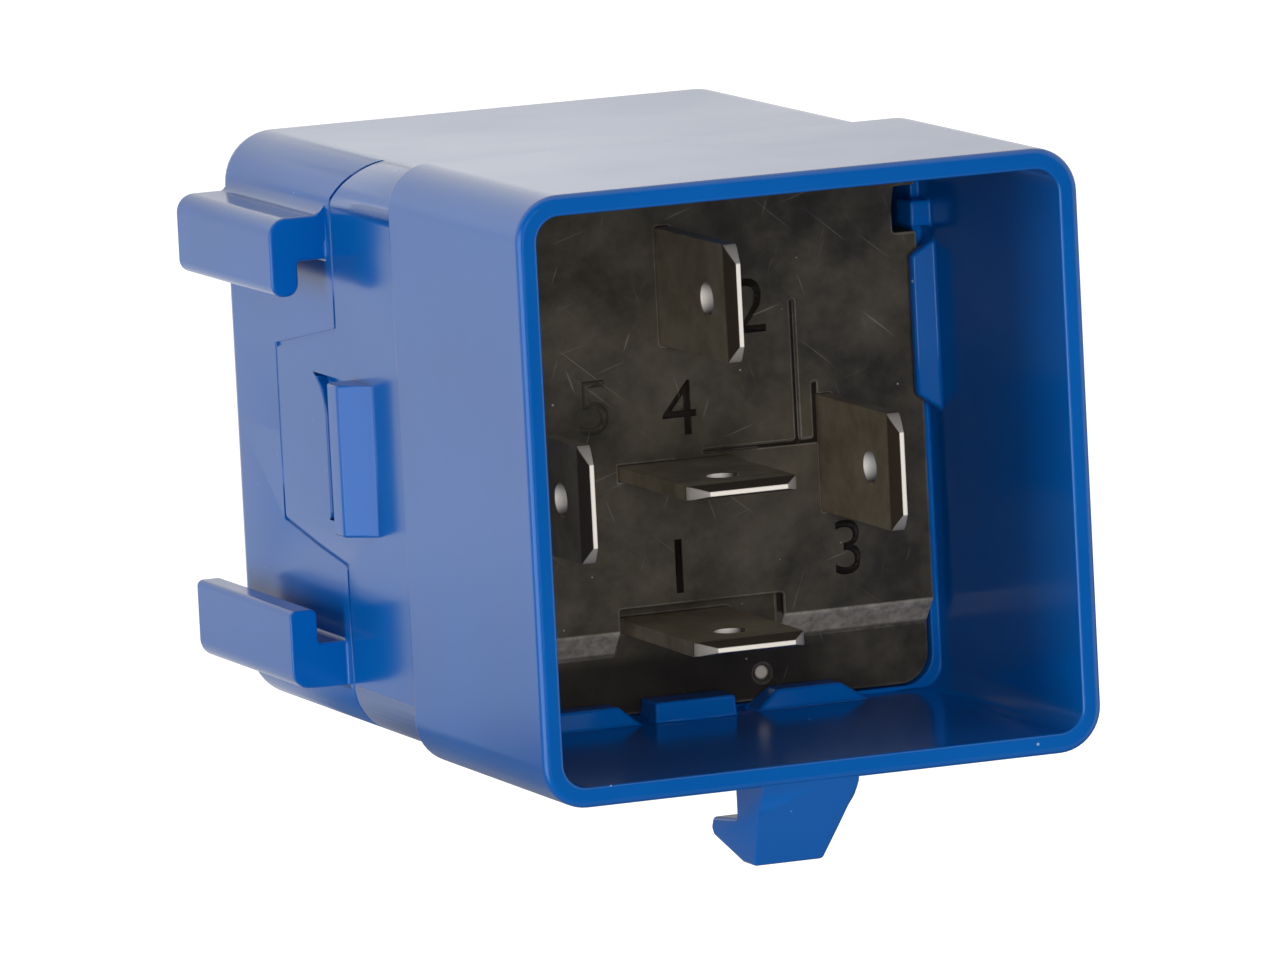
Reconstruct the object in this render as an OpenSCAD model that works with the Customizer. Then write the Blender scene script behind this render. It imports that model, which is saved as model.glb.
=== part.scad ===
// Skirted automotive changeover relay with five blade terminals.
// Millimetres. +Z runs from the closed end of the housing to its open, skirted end.
// The origin is the middle of the closed end's outer face, on which the relay can stand.

/* [Housing] */
// Width of the skirt across X
skirt_w = 31.5; // [31:0.1:33]
// Height of the skirt across Y
skirt_h = 32; // [31.6:0.1:34]
// Depth of the skirt from its step to the rim
skirt_depth = 19.1; // [18:0.1:20]
// Depth of the cover from the closed end to the skirt's step
cover_depth = 27.4; // [27.4:0.1:28.4]
// How far the skirt stands out over the cover's left wall
step_left = 0.45; // [0.2:0.05:0.8]
// How far the skirt stands out over the cover's right wall
step_right = 0.5; // [0.3:0.05:0.8]
// How far the skirt stands out over the cover's upper wall
step_up = 0.6; // [0.2:0.05:0.9]
// How far the skirt stands out over the cover's lower wall
step_down = 0.2; // [0.1:0.05:0.6]
// Thickness of the moulded walls
wall = 1.1; // [0.95:0.05:1.2]
// Radius of the skirt's long outer corners
skirt_r = 2.4; // [2:0.1:2.8]
// Radius of the cover's long outer corners
cover_r = 2.8; // [2.4:0.1:3]
// Radius round the closed end
end_r = 1.5; // [1:0.1:2]
// Radius round the rim and round the skirt's step
rim_r = 0.4; // [0.2:0.05:0.5]
// Width of the groove left where the mould's side slide closed
seam_w = 0.25; // [0.15:0.05:0.4]
// Depth of that groove
seam_depth = 0.16; // [0.1:0.02:0.3]

/* [Mounting rails, latch and hook] */
// How far the rails stand out from the left wall
rail_out = 3.2; // [2.8:0.1:3.6]
// Thickness of a rail's outer leg
rail_leg = 1.55; // [1.2:0.05:1.7]
// Thickness of a rail's web
rail_web = 2.4; // [2:0.1:2.8]
// Length of a rail's leg past its web
rail_lip = 1.85; // [1.4:0.05:2.2]
// Radius of a rail's outer corner
rail_r = 1; // [0.6:0.1:1.2]
// Outer edge of the upper rail across Y
rail_top_y = 12.4; // [12:0.1:12.8]
// Outer edge of the lower rail across Y
rail_low_y = -13.05; // [-13.4:0.05:-12.6]
// Height of the rails' lower ends above the closed end
rail_z0 = 2; // [1.6:0.1:3]
// Length of the rails
rail_len = 14.7; // [13:0.1:15]
// Height of the latch's crest over the left wall
latch_out = 1.6; // [1.4:0.1:2]
// Width of the latch across Y
latch_w = 8.2; // [7:0.1:9]
// Depth of the pocket behind the latch
pocket_depth = 0.85; // [0.5:0.05:1]
// Width of the hook at its root
hook_w = 5.5; // [5:0.1:6]
// Reach of the hook below the skirt
hook_drop = 4.4; // [3.8:0.1:5]

/* [Terminals] */
// Width of a blade
blade_w = 6.3; // [6.3:0.1:6.4]
// Thickness of a blade
blade_t = 0.8; // [0.77:0.01:0.84]
// Length of a blade past the base
blade_len = 10.6; // [10.2:0.1:11.5]
// Diameter of the hole in a blade
blade_hole = 1.8; // [1.7:0.05:1.9]
// Middle of the blades across X
mid_x = -0.5; // [-0.7:0.1:-0.3]
// Middle of the row of three blades across Y
mid_y = -1.5; // [-1.7:0.1:-1.3]
// Distance between the two coil blades
coil_pitch = 17.6; // [17.4:0.1:18]
// Distance from the middle row up to the common blade
common_rise = 9.8; // [9.6:0.1:10]
// Distance from the middle row down to the normally open blade
open_drop = 8.3; // [8.1:0.1:8.5]

/* [Base] */
// Thickness of the base plate
base_t = 2.9; // [2.7:0.1:3.2]
// How far the base's face stands over the skirt's floor
base_rise = 0.7; // [0.6:0.05:0.8]
// Play between the base plate and the housing
base_play = 0.05; // [0.03:0.01:0.08]
// Depth of the lower ledge in the base's face
ledge_depth = 1.1; // [0.8:0.1:1.3]

/* [Magnet] */
// Middle of the coil across Y
coil_y = 3; // [2.8:0.1:3.2]
// Radius of the core
core_r = 3.3; // [3:0.1:3.4]
// Radius of the core's pole face
pole_r = 4.6; // [4.2:0.1:5]
// Height of the pole face over the closed end
pole_z = 7.5; // [7.5:0.1:7.8]
// Outer radius of the copper winding
winding_r = 6.5; // [6:0.1:6.6]
// Thickness of the yoke strip
yoke_t = 1.8; // [1.6:0.1:1.8]
// Width of the yoke and the armature
yoke_w = 12; // [11:0.5:12]
// Angle through which the armature swings
swing = 3; // [2:0.5:3]

/* [Contacts] */
// Distance of the contacts from the hinge edge
contact_reach = 24.6; // [24.2:0.1:24.8]
// Radius of the contact faces
contact_r = 1.6; // [1.3:0.1:1.8]
// Thickness of the contact spring
spring_t = 0.3; // [0.2:0.05:0.35]

/* [Hidden] */
$fn = 48;
eps = 0.01;
bite = 0.5;
running = 0.08;

total_z = cover_depth + skirt_depth;
x_left = -skirt_w / 2 + step_left;
x_right = skirt_w / 2 - step_right;
y_up = skirt_h / 2 - step_up;
y_down = -skirt_h / 2 + step_down;
cover_w = x_right - x_left;
cover_h = y_up - y_down;
cover_x = (x_left + x_right) / 2;
cover_y = (y_up + y_down) / 2;
floor_z = cover_depth + 0.1;
skirt_in_x = skirt_w / 2 - wall;
skirt_in_y = skirt_h / 2 - wall;

base_z1 = floor_z + base_rise;
base_z0 = base_z1 - base_t;
ledge_z = base_z1 - ledge_depth;
blade_tip_z = base_z1 + blade_len;
left_x = mid_x - coil_pitch / 2;
right_x = mid_x + coil_pitch / 2;
common_y = mid_y + common_rise;
open_y = mid_y - open_drop;

rail_x = x_left - rail_out;
rail_z1 = rail_z0 + rail_len;
latch_z1 = cover_depth - 4.7;
latch_run = 1.25;
latch_z0 = latch_z1 - latch_run - 1.55;
latch_y0 = -4.4;
latch_y1 = latch_y0 + latch_w;
seam_z = rail_z1 + 0.7;
hook_x0 = mid_x - 3.1;

coil_top_z = base_z0 - 0.1;
yoke_z0 = coil_top_z - yoke_t;
hinge_y = 12.8;
flange_t = 1;
flange_w = 13.2;
core_z0 = pole_z + 1.1;
arm_t = 1.5;
arm_z1 = pole_z - running;
arm_z0 = arm_z1 - arm_t;
arm_len = 17.7;
spring_z0 = arm_z0 - spring_t;
contact_y = hinge_y - contact_reach;
head_t = 1.18;
move_z1 = arm_z0 + head_t;
move_z0 = spring_z0 - 0.7;
drop_at_contact = contact_reach * sin(swing);
open_face_z = move_z1 + 0.05;
closed_face_z = move_z0 - drop_at_contact - 0.16;
open_tab_z = open_face_z + 1.05;
closed_tab_z = closed_face_z - 0.7 - blade_t;
riser_w = 3.3;
riser_x = 4.3;
riser_y = -7.5;
post_z0 = 19.5;
post_w = 1.6;
wire_r = 0.16;
lead_r = 0.3;
resistor_y = -5.2;
resistor_z = 21;
resistor_len = 6.3;

// ---------------------------------------------------------------- shapes used again

// A rectangle with round corners, made of true arcs.
module round_rect(w, h, r) {
    square([w - 2 * r, h], center = true);
    square([w, h - 2 * r], center = true);
    for (sx = [-1, 1], sy = [-1, 1])
        translate([sx * (w / 2 - r), sy * (h / 2 - r)]) circle(r);
}

// A block with round long corners, and an edge radius at its lower and at its upper end.
module rounded_block(w, h, len, r, low_r, high_r) {
    module wall_profile() {
        intersection() {
            square([r, len]);
            union() {
                translate([0, low_r]) square([r, len - low_r - high_r]);
                square([r - max(low_r, high_r), len]);
                if (low_r > 0) translate([r - low_r, low_r]) circle(low_r);
                if (high_r > 0) translate([r - high_r, len - high_r]) circle(high_r);
            }
        }
    }
    linear_extrude(len) square([w - 2 * r, h - 2 * r], center = true);
    for (turn = [0 : 3]) {
        across = turn % 2 == 0 ? w : h;
        along = turn % 2 == 0 ? h : w;
        rotate([0, 0, turn * 90]) {
            translate([across / 2 - r, along / 2 - r]) rotate_extrude(angle = 90) wall_profile();
            along_y(r - along / 2, along / 2 - r) translate([across / 2 - r, 0]) wall_profile();
        }
    }
}

// A box given by its two corners.
module block(from, to) {
    translate(from) cube(to - from);
}

// A profile drawn in X (across) and Z (up), run along Y between y0 and y1.
module along_y(y0, y1) {
    translate([0, y1, 0]) rotate([90, 0, 0]) linear_extrude(y1 - y0) children();
}

// A profile drawn in Y (across) and Z (up), run along X between x0 and x1.
module along_x(x0, x1) {
    translate([x0, 0, 0]) rotate([90, 0, 90]) linear_extrude(x1 - x0) children();
}

// A round rod between two points.
module rod(a, b, r) {
    d = b - a;
    len = norm(d);
    translate(a)
        rotate([0, acos(d.z / len), atan2(d.y, d.x)])
            cylinder(h = len, r = r, $fn = 24);
}

// A rod that bends at each of its points, a little fuller at the bends.
module bent_rod(points, r) {
    for (i = [0 : len(points) - 2])
        rod(points[i], points[i + 1], r);
    for (i = [1 : len(points) - 2])
        translate(points[i]) sphere(r * 1.06, $fn = 24);
}

// A rivet with a flat round head, standing on z = 0 with its shank below.
module rivet(head_r, head_t, shank_r, shank_len) {
    cylinder(h = head_t, r = head_r);
    translate([0, 0, -shank_len]) cylinder(h = shank_len + eps, r = shank_r);
}

// A blade seen flat: its width across X, its tip up, corners cut off for lead-in.
module blade_face() {
    cut_x = 0.95;
    cut_z = 1.15;
    polygon([
        [-blade_w / 2, base_z0], [blade_w / 2, base_z0],
        [blade_w / 2, blade_tip_z - cut_z], [blade_w / 2 - cut_x, blade_tip_z],
        [-blade_w / 2 + cut_x, blade_tip_z], [-blade_w / 2, blade_tip_z - cut_z]
    ]);
}

// The same blade seen on edge, thinned towards the tip.
module blade_edge() {
    thin = 0.25;
    run = 1.3;
    polygon([
        [-blade_t / 2, base_z0], [blade_t / 2, base_z0],
        [blade_t / 2, blade_tip_z - run], [thin, blade_tip_z],
        [-thin, blade_tip_z], [-blade_t / 2, blade_tip_z - run]
    ]);
}

// A blade terminal at the origin of X and Y, its width across X.
module blade() {
    hole_z = blade_tip_z - 3.7;
    difference() {
        intersection() {
            along_y(-blade_t, blade_t) blade_face();
            along_x(-blade_w, blade_w) blade_edge();
        }
        translate([0, blade_t, hole_z]) rotate([90, 0, 0]) cylinder(h = 2 * blade_t, d = blade_hole);
    }
}

// Turns what moves with the armature from its pulled-in place back to rest.
module at_rest() {
    translate([0, hinge_y, pole_z])
        rotate([swing, 0, 0])
            translate([0, -hinge_y, -pole_z])
                children();
}

// ---------------------------------------------------------------- housing

// The cover's outer body, round at its long corners and at the closed end.
module cover_body() {
    translate([cover_x, cover_y, 0])
        rounded_block(cover_w, cover_h, cover_depth + bite, cover_r, end_r, 0);
}

// The skirt's outer body, round at its long corners, its step and its rim.
module skirt_body() {
    translate([0, 0, cover_depth])
        rounded_block(skirt_w, skirt_h, skirt_depth, skirt_r, rim_r, rim_r);
}

module housing_hollow() {
    translate([cover_x, cover_y, wall])
        linear_extrude(total_z) round_rect(cover_w - 2 * wall, cover_h - 2 * wall, cover_r - wall);
    translate([0, 0, floor_z])
        linear_extrude(total_z) round_rect(2 * skirt_in_x, 2 * skirt_in_y, skirt_r - wall);
}

// A rail's section: a web from the wall and a leg turned over at its outer edge, whose end has lip_r.
module rail_section(lip_r) {
    lip_y = -rail_web - rail_lip;
    leg_x = rail_x + rail_leg;
    translate([rail_x + rail_r, -rail_web]) square([x_left + bite - rail_x - rail_r, rail_web]);
    translate([rail_x + rail_r, -rail_r]) circle(rail_r);
    translate([rail_x, lip_y + lip_r]) square([rail_leg, -rail_r - lip_y - lip_r]);
    for (x = [rail_x + lip_r, leg_x - lip_r])
        translate([x, lip_y + lip_r]) circle(lip_r);
    translate([rail_x + lip_r, lip_y]) square([rail_leg - 2 * lip_r, lip_r]);
}

// The hollow fillet that leads from the upper rail's back into the cover's corner.
module rail_fillet() {
    r = 1;
    sink = 0.04;
    corner_x = x_left + cover_r;
    corner_y = y_up - cover_r;
    reach = cover_r + r - sink;
    up = rail_top_y + r - sink - corner_y;
    centre_x = corner_x - sqrt(reach * reach - up * up);
    end_x = corner_x + (centre_x - corner_x) * cover_r / reach;
    end_y = corner_y + up * cover_r / reach;
    difference() {
        polygon([[centre_x, rail_top_y - 0.5], [end_x + 0.8, rail_top_y - 0.5],
            [end_x + 0.8, end_y], [end_x, end_y], [centre_x, rail_top_y + 0.02]]);
        translate([centre_x, rail_top_y + r - sink]) circle(r);
    }
}

module rails() {
    translate([0, 0, rail_z0]) linear_extrude(rail_len) {
        translate([0, rail_top_y]) rail_section(0.7);
        rail_fillet();
    }
    translate([0, rail_low_y, rail_z0]) linear_extrude(rail_len) mirror([0, 1]) rail_section(0.35);
}

// The latch that snaps into the carrier: a ramp facing the opening, flat-topped, square at the back.
module latch() {
    along_y(latch_y0, latch_y1)
        polygon([
            [x_left + bite, latch_z1], [x_left, latch_z1],
            [x_left - latch_out, latch_z1 - latch_run], [x_left - latch_out, latch_z0],
            [x_left + bite, latch_z0]
        ]);
}

// The pocket behind the latch, its far edge left as a land with round corners.
module latch_pocket() {
    low_y = latch_y0 + 0.1;
    high_y = latch_y1 - 0.2;
    land_z = 15.3;
    low_r = 0.6;
    high_r = 2.4;
    translate([x_left - 1, 0, 0]) rotate([90, 0, 90])
        linear_extrude(1 + pocket_depth)
            difference() {
                translate([low_y, 13]) square([high_y - low_y, latch_z0 - 13]);
                translate([low_y - 0.05, 12]) square([high_y - high_r - low_y, land_z - low_r - 12]);
                translate([low_y - 0.05 + low_r, 12])
                    square([high_y - high_r - low_y + 0.1 - low_r, land_z - 12]);
                translate([low_y - 0.05 + low_r, land_z - low_r]) circle(low_r);
                translate([high_y + 0.05 - high_r, land_z - high_r]) circle(high_r);
            }
}

// Thickens the wall inside, where the pocket is.
module pocket_back() {
    block([x_left + wall - bite, latch_y0 - 0.8, 12], [x_left + wall + 0.7, latch_y1 + 0.8, latch_z0 + 0.8]);
}

// The witness line where the side slide met the main mould, as a shallow groove in the left wall.
module slide_seam() {
    path = [
        [y_up + 0.5, seam_z + 3], [y_up - 1.2, seam_z + 1], [y_up - 2.1, seam_z + 0.1],
        [6.2, seam_z], [5.2, 11.9], [4.5, 8],
        [-5, 8], [-5.9, 13.2], [-6.5, seam_z], [y_down - 1, seam_z]
    ];
    intersection() {
        for (i = [0 : len(path) - 2]) {
            a = path[i];
            run = path[i + 1] - a;
            translate([x_left, a.x, a.y])
                rotate([atan2(run.y, run.x), 0, 0])
                    translate([-1, -seam_w / 2, -seam_w / 2])
                        cube([4, norm(run) + seam_w, seam_w]);
        }
        difference() {
            block([x_left - 1, y_down - 1, 6], [x_left + cover_r - 0.4, y_up + 1, cover_depth - 2]);
            translate([cover_x, cover_y, 5])
                linear_extrude(cover_depth)
                    round_rect(cover_w - 2 * seam_depth, cover_h - 2 * seam_depth, cover_r - seam_depth);
        }
    }
}

// The snap hook under the rim, its barb pointing to the closed end.
module hook() {
    y0 = -skirt_h / 2;
    stem_z = total_z - 4.1;
    intersection() {
        along_x(hook_x0, hook_x0 + hook_w)
            polygon([
                [y0 + bite, total_z - 0.2], [y0 - 0.2, total_z - 0.2], [y0 - 1.6, total_z - 1],
                [y0 - hook_drop, total_z - 1.9], [y0 - hook_drop, total_z - 3.6],
                [y0 - hook_drop + 0.9, total_z - 7.5], [y0 - hook_drop + 1.3, total_z - 7.8],
                [y0 - hook_drop + 1.9, total_z - 7.5], [y0 - hook_drop + 2.3, stem_z], [y0 + bite, stem_z]
            ]);
        translate([hook_x0, y0, 0])
            linear_extrude(total_z)
                polygon([
                    [-1, bite], [-1, -hook_drop - 1], [hook_w - 1.7, -hook_drop - 1],
                    [hook_w - 1.6, -hook_drop], [hook_w - 0.8, -2.6], [hook_w - 0.2, -1.2], [hook_w, bite]
                ]);
    }
}

// A catch that keeps the base in: slanted ends, a flat crest and a slanted front.
// It is drawn on a wall that faces +Y, with its length along X and its foot at z = 0.
module catch(root_w, crest_w, out, high) {
    intersection() {
        linear_extrude(high)
            polygon([
                [-root_w / 2, -bite], [root_w / 2, -bite], [root_w / 2, 0],
                [crest_w / 2, out], [-crest_w / 2, out], [-root_w / 2, 0]
            ]);
        along_x(-root_w, root_w)
            polygon([
                [-1, -1], [out + 1, -1], [out + 1, high - 0.5],
                [out, high - 0.5], [0, high], [-1, high]
            ]);
    }
}

module catches() {
    low = ledge_z + 0.06;
    high = base_z1 + 0.06;
    translate([skirt_in_x, 4.9, high]) rotate([0, 0, 90]) catch(9.3, 7.5, 1.2, 1.15);
    translate([-skirt_in_x, 4.9, high]) rotate([0, 0, -90]) catch(9.3, 7.5, 0.9, 1.15);
    translate([mid_x, skirt_in_y, high]) rotate([0, 0, 180]) catch(9.3, 7.5, 1.1, 1.15);
    translate([-6.75, -skirt_in_y, low]) catch(6.3, 4.5, 1, 2);
    translate([6.45, -skirt_in_y, low]) catch(6.5, 3.7, 1, 2);
}

// The square key on the lower skirt wall, and the rib that stands in the base's notch.
module keys() {
    block([-2.7, -skirt_in_y - bite, ledge_z + 0.06], [1.9, -skirt_in_y + 1.1, base_z1 + 1.2]);
    block([13.5, 10.2, floor_z - 0.6], [skirt_in_x + bite, 11.6, base_z1 + 0.8]);
}

module housing() {
    color("#0a4c9c") {
        difference() {
            union() {
                cover_body();
                skirt_body();
                rails();
            }
            housing_hollow();
            slide_seam();
            latch_pocket();
        }
        pocket_back();
        latch();
        hook();
        catches();
        keys();
    }
}

// ---------------------------------------------------------------- base

// The flat of the normally closed strip that lies let into the base's back.
module closed_strip_plan(grow = 0) {
    offset_x = riser_x + riser_w;
    translate([mid_x - 3 - grow, riser_y - grow])
        square([6 + 2 * grow, mid_y - riser_y + blade_t / 2 + 2 * grow]);
    translate([mid_x - 3 - grow, riser_y - grow])
        square([offset_x - mid_x + 3 + 2 * grow, 2.2 + 2 * grow]);
}

// The slot that a blade passes through, w across X and t across Y.
module blade_slot(x, y, w, t) {
    gap = 0.03;
    translate([x, y, base_z0 - 1])
        linear_extrude(base_t + 2) square([w + 2 * gap, t + 2 * gap], center = true);
}

module base() {
    w = cover_w - 2 * wall - 2 * base_play;
    h = cover_h - 2 * wall - 2 * base_play;
    ledge_y = -10.05;
    notch_x = 12.75;
    color("#2b2723")
        difference() {
            translate([cover_x, cover_y, base_z0]) linear_extrude(base_t) round_rect(w, h, cover_r - wall);
            // lower ledge with a slanted shoulder, stepped up round the lowest blade
            along_x(cover_x - w, cover_x + w)
                polygon([
                    [-skirt_h, ledge_z], [ledge_y - 1.3, ledge_z], [ledge_y, base_z1],
                    [ledge_y, base_z1 + 1], [-skirt_h, base_z1 + 1]
                ]);
            block([mid_x - 3.5, open_y - 3, ledge_z], [mid_x + 5.9, open_y + 1, base_z1 + 1]);
            // notch at the upper right corner
            block([notch_x, 9.9, base_z0 - 1], [cover_x + w, 12.4, base_z1 + 1]);
            // round pit in the ledge
            translate([4.4, -13.2, ledge_z - 0.4]) cylinder(h = 2, r = 0.5);
            // shallow mould marks
            block([6.55, -0.9, base_z1 - 0.2], [6.85, 6.9, base_z1 + 1]);
            block([1.2, -0.9, base_z1 - 0.2], [7.6, -0.65, base_z1 + 1]);
            block([7.6, -0.9, base_z1 - 0.2], [7.9, 2.4, base_z1 + 1]);
            // slots for the five blades and the bed of the let-in strip
            blade_slot(mid_x, common_y, blade_t, blade_w);
            blade_slot(left_x, mid_y, blade_t, blade_w);
            blade_slot(right_x, mid_y, blade_t, blade_w);
            blade_slot(mid_x, mid_y, blade_w, blade_t);
            blade_slot(mid_x, open_y, blade_w, blade_t);
            translate([0, 0, base_z0 - 1]) linear_extrude(1 + blade_t + 0.04) closed_strip_plan(0.04);
        }
}

// ---------------------------------------------------------------- terminals

// The blade nearest the upper wall. Its foot is staked through the yoke.
module common_terminal() {
    color("#6e655a")
        translate([mid_x, common_y, 0]) rotate([0, 0, 90]) {
            blade();
            block([-1.5, -blade_t / 2, yoke_z0 + 0.1], [1.5, blade_t / 2, base_z0 + eps]);
        }
}

// A coil blade with the post that the winding's end is wrapped on.
module coil_terminal(x) {
    color("#6e655a")
        translate([x, mid_y, 0]) rotate([0, 0, 90]) {
            blade();
            block([-post_w / 2, -blade_t / 2, post_z0], [post_w / 2, blade_t / 2, base_z0 + eps]);
        }
}

module left_coil_terminal() {
    coil_terminal(left_x);
}

module right_coil_terminal() {
    coil_terminal(right_x);
}

// The middle blade. Its strip runs in the base, rises beside the contacts and carries the back contact.
module normally_closed_terminal() {
    arm_y0 = contact_y - 2;
    color("#6e655a")
        difference() {
            union() {
                translate([mid_x, mid_y, 0]) blade();
                translate([0, 0, base_z0]) linear_extrude(blade_t) closed_strip_plan();
                block([riser_x, riser_y, closed_tab_z], [riser_x + riser_w, riser_y + blade_t, base_z0 + eps]);
                block([riser_x, arm_y0, closed_tab_z], [riser_x + riser_w, riser_y + eps, closed_tab_z + blade_t]);
                block([mid_x - 2, arm_y0, closed_tab_z], [riser_x + eps, arm_y0 + 4, closed_tab_z + blade_t]);
            }
            translate([mid_x, contact_y, closed_tab_z - 1]) cylinder(h = 3, r = 0.8);
        }
}

// The lowest blade. Its strip rises straight to the front contact.
module normally_open_terminal() {
    w = 5;
    color("#6e655a")
        difference() {
            union() {
                translate([mid_x, open_y, 0]) blade();
                block([mid_x - w / 2, open_y - blade_t / 2, open_tab_z],
                    [mid_x + w / 2, open_y + blade_t / 2, base_z0 + eps]);
                block([mid_x - w / 2, contact_y - 1.9, open_tab_z],
                    [mid_x + w / 2, open_y, open_tab_z + blade_t]);
            }
            translate([mid_x, contact_y, open_tab_z - 1]) cylinder(h = 3, r = 0.8);
        }
}

// ---------------------------------------------------------------- magnet

module yoke() {
    x0 = mid_x - yoke_w / 2;
    color("#8d8f90")
        difference() {
            union() {
                block([x0, -2, yoke_z0], [x0 + yoke_w, hinge_y, coil_top_z]);
                block([x0, hinge_y - yoke_t, pole_z], [x0 + yoke_w, hinge_y, coil_top_z]);
            }
            translate([mid_x, coil_y, yoke_z0 - 1]) cylinder(h = yoke_t + 2, r = 2.22);
            block([mid_x - blade_t / 2 - 0.03, common_y - 1.53, yoke_z0 - 1],
                [mid_x + blade_t / 2 + 0.03, common_y + 1.53, coil_top_z + 1]);
            for (z = [12, 16])
                translate([mid_x, hinge_y + 1, z]) rotate([90, 0, 0]) cylinder(h = 4, r = 0.82);
        }
}

module core() {
    color("#a9abac")
        translate([mid_x, coil_y, 0]) {
            translate([0, 0, pole_z]) cylinder(h = core_z0 - pole_z, r = pole_r);
            translate([0, 0, core_z0 - eps]) cylinder(h = yoke_z0 - core_z0 + eps, r = core_r);
            translate([0, 0, yoke_z0 - eps]) cylinder(h = yoke_t + 0.05, r = 2.2);
        }
}

module bobbin() {
    flange_z0 = core_z0 + 0.05;
    flange_z1 = yoke_z0 - 0.1;
    color("#d8d2c0")
        translate([mid_x, coil_y, 0])
            difference() {
                union() {
                    translate([0, 0, flange_z0]) linear_extrude(flange_t) round_rect(flange_w, flange_w, 1);
                    translate([0, 0, flange_z1 - flange_t])
                        linear_extrude(flange_t) round_rect(flange_w, flange_w, 1);
                    translate([0, 0, flange_z0]) cylinder(h = flange_z1 - flange_z0, r = core_r + 0.75);
                }
                translate([0, 0, flange_z0 - 1]) cylinder(h = yoke_z0, r = core_r + 0.04);
            }
}

module coil_winding() {
    z0 = core_z0 + 0.05 + flange_t + 0.04;
    z1 = yoke_z0 - 0.1 - flange_t - 0.04;
    color("#b8692c")
        translate([mid_x, coil_y, z0])
            difference() {
                cylinder(h = z1 - z0, r = winding_r);
                translate([0, 0, -1]) cylinder(h = z1 - z0 + 2, r = core_r + 0.78);
            }
}

// A winding end: out of the coil, across to its post and three times round it.
module coil_lead(side, post_x) {
    z = post_z0 + 0.25;
    turn_rise = 1.8 * wire_r;
    wrap_r = post_w / 2 + 0.3;
    meet = 30;
    color("#b8692c") {
        rod([mid_x + side * (winding_r - 0.5), coil_y - 2.4, z + turn_rise],
            [post_x - side * wrap_r * cos(meet), mid_y + wrap_r * sin(meet), z + turn_rise], 0.9 * wire_r);
        translate([post_x, mid_y, z])
            rotate_extrude($fn = 32) {
                for (i = [0 : 2])
                    translate([wrap_r, i * turn_rise]) circle(wire_r, $fn = 16);
                translate([wrap_r - wire_r / 2, 0]) square([wire_r, 2 * turn_rise]);
            }
    }
}

module left_coil_lead() {
    coil_lead(-1, left_x);
}

module right_coil_lead() {
    coil_lead(1, right_x);
}

// The damping resistor across the coil.
module resistor() {
    cap = 0.9;
    color("#c9b48a")
        translate([mid_x - resistor_len / 2, resistor_y, resistor_z]) rotate([0, 90, 0]) {
            cylinder(h = resistor_len, r = 0.95);
            for (z = [0, resistor_len - cap])
                translate([0, 0, z]) cylinder(h = cap, r = 1.15);
        }
}

module resistor_leads() {
    bend_r = 0.9;
    turn_y = resistor_y + bend_r;
    color("#b9bcc0")
        for (side = [-1, 1]) {
            post_x = mid_x + side * coil_pitch / 2;
            turn_x = post_x - side * bend_r;
            rod([mid_x + side * (resistor_len / 2 + 0.03), resistor_y, resistor_z],
                [turn_x, resistor_y, resistor_z], lead_r);
            translate([turn_x, turn_y, resistor_z])
                rotate([0, 0, side > 0 ? -90 : 180])
                    rotate_extrude(angle = 90) translate([bend_r, 0]) circle(lead_r, $fn = 24);
            rod([post_x, turn_y, resistor_z], [post_x, mid_y - post_w / 2 - 0.03, resistor_z], lead_r);
        }
}

// ---------------------------------------------------------------- moving parts

module armature() {
    x0 = mid_x - yoke_w / 2;
    nose = 3.2;
    y0 = hinge_y - 0.1 - arm_len;
    color("#8d8f90")
        at_rest()
            difference() {
                translate([0, 0, arm_z0])
                    linear_extrude(arm_t)
                        polygon([
                            [x0, hinge_y - 0.1], [x0, y0 + 4], [mid_x - nose, y0],
                            [mid_x + nose, y0], [x0 + yoke_w, y0 + 4], [x0 + yoke_w, hinge_y - 0.1]
                        ]);
                for (x = [-2, 2])
                    translate([mid_x + x, 0, arm_z0 - 1]) cylinder(h = arm_t + 2, r = 0.72);
            }
}

module contact_spring() {
    w = 4.6;
    color("#b5793f")
        at_rest()
            difference() {
                union() {
                    block([mid_x - w / 2, contact_y, spring_z0], [mid_x + w / 2, 7.5, arm_z0]);
                    translate([mid_x, contact_y, spring_z0]) cylinder(h = spring_t, r = w / 2);
                    block([mid_x - 3.4, -3, spring_z0], [mid_x + 3.4, 3, arm_z0]);
                }
                for (x = [-2, 2])
                    translate([mid_x + x, 0, spring_z0 - 1]) cylinder(h = 3, r = 0.72);
                translate([mid_x, contact_y, spring_z0 - 1]) cylinder(h = 3, r = 0.82);
            }
}

module spring_rivets() {
    color("#c08a4a")
        at_rest()
            for (x = [-2, 2])
                translate([mid_x + x, 0, spring_z0]) mirror([0, 0, 1]) rivet(1.1, 0.35, 0.7, arm_t + spring_t);
}

module moving_contact() {
    color("#c9ccce")
        at_rest()
            translate([mid_x, contact_y, 0]) {
                translate([0, 0, arm_z0]) cylinder(h = head_t, r = contact_r);
                translate([0, 0, spring_z0 - eps]) cylinder(h = spring_t + 2 * eps, r = 0.8);
                translate([0, 0, move_z0]) cylinder(h = spring_z0 - move_z0, r = contact_r);
            }
}

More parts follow.
